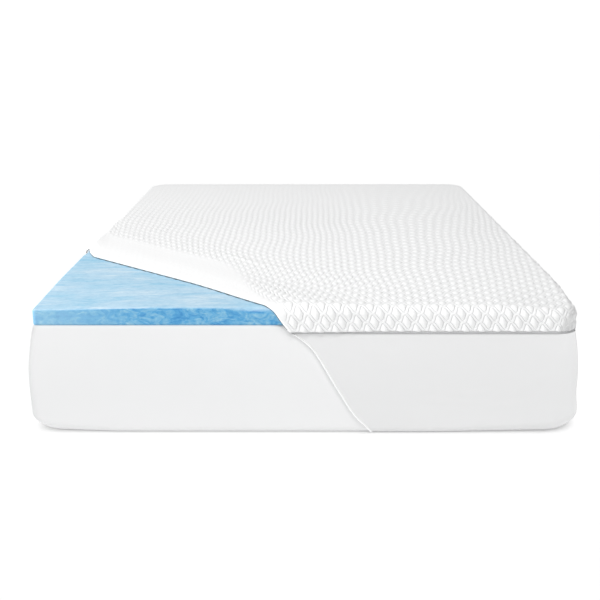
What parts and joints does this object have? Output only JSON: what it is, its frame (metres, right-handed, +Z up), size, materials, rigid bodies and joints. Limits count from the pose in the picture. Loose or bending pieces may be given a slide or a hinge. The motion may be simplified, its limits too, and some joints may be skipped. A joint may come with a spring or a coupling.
{
  "type": "mattress topper on a mattress",
  "caption": "Quilted white mattress topper over a blue gel-foam slab, with a grey-piped border and a plain stretch skirt on a mattress; one front corner is peeled back.",
  "frame": {"origin": "on the floor, under the middle of the mattress", "axes": "+Z up, +Y from the foot (the front, with the peeled corner) to the head, +X to the right seen from the front"},
  "size_m": [1.5538, 2.0618, 0.3723],
  "materials": {
    "mattress_fabric": "matte",
    "gel_foam": "matte",
    "quilted_knit": "matte",
    "grey_piping": "satin",
    "stretch_knit": "matte"
  },
  "bodies": {
    "root": {"mattress": "mattress_fabric", "foam_slab": "gel_foam", "cover_top": "quilted_knit", "piping": "grey_piping", "skirt": "stretch_knit"}
  },
  "joints": []
}
